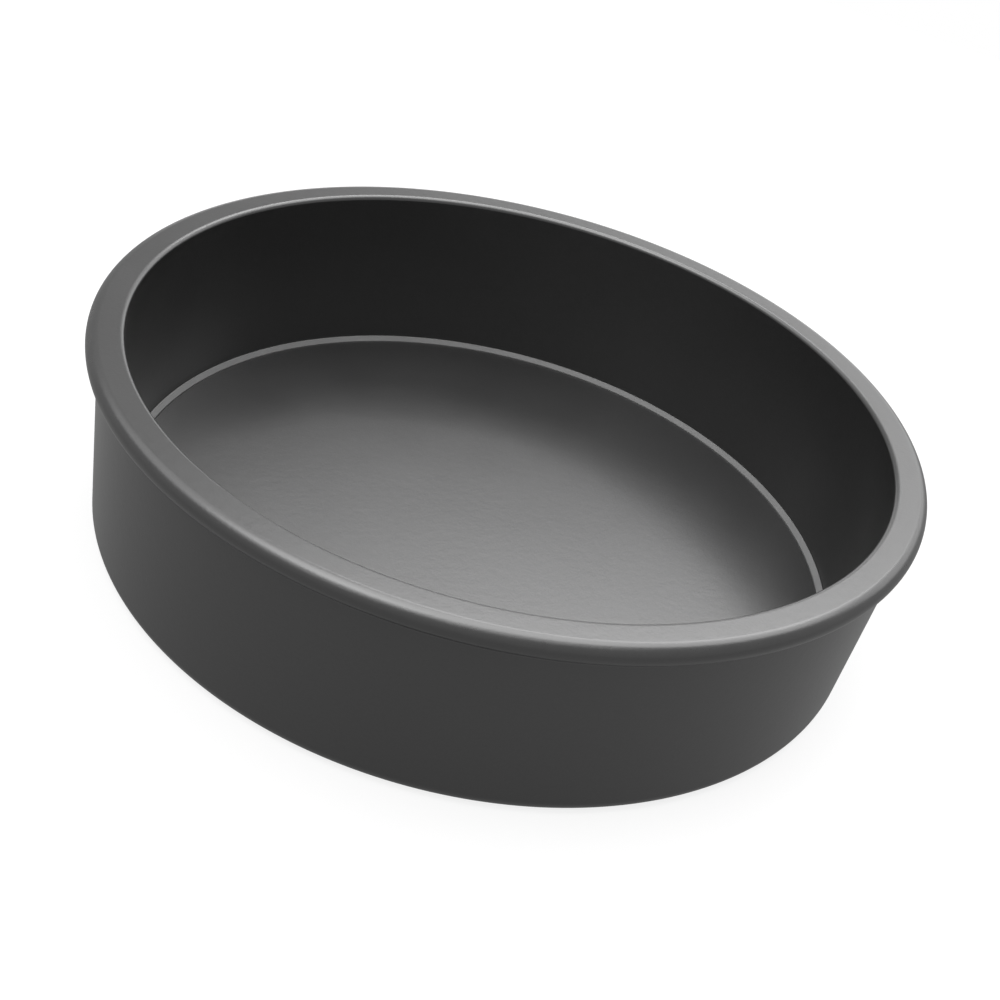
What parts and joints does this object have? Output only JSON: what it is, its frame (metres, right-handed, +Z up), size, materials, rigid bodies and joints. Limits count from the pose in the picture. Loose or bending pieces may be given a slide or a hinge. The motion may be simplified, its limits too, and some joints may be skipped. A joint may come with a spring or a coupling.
{
  "type": "quiche pan",
  "caption": "Deep round quiche pan with a plain coated wall, a flat rim with a rounded edge, and a sealed loose base that lifts out.",
  "frame": {"origin": "centre of the pan's underside, on the surface that it stands on", "axes": "+Z up along the pan's axis, out of its open top; the pan is round, so +X and +Y are any level pair"},
  "size_m": [0.22, 0.22, 0.054],
  "materials": {
    "ring_coating": "dark grey non-stick coating on cast aluminium, satin, with a fine grain",
    "base_coating": "dark grey non-stick coating on aluminium plate, satin, with a fine grain",
    "seal_silicone": "mid grey silicone rubber, matt"
  },
  "bodies": {
    "ring": {"side_ring": "ring_coating"},
    "base": {"loose_base": "base_coating", "base_seal": "seal_silicone"}
  },
  "joints": [
    {"name": "base_lift", "type": "slide", "parent": "ring", "child": "base", "axis": [0, 0, 1], "range_m": [0, 0.058]}
  ]
}
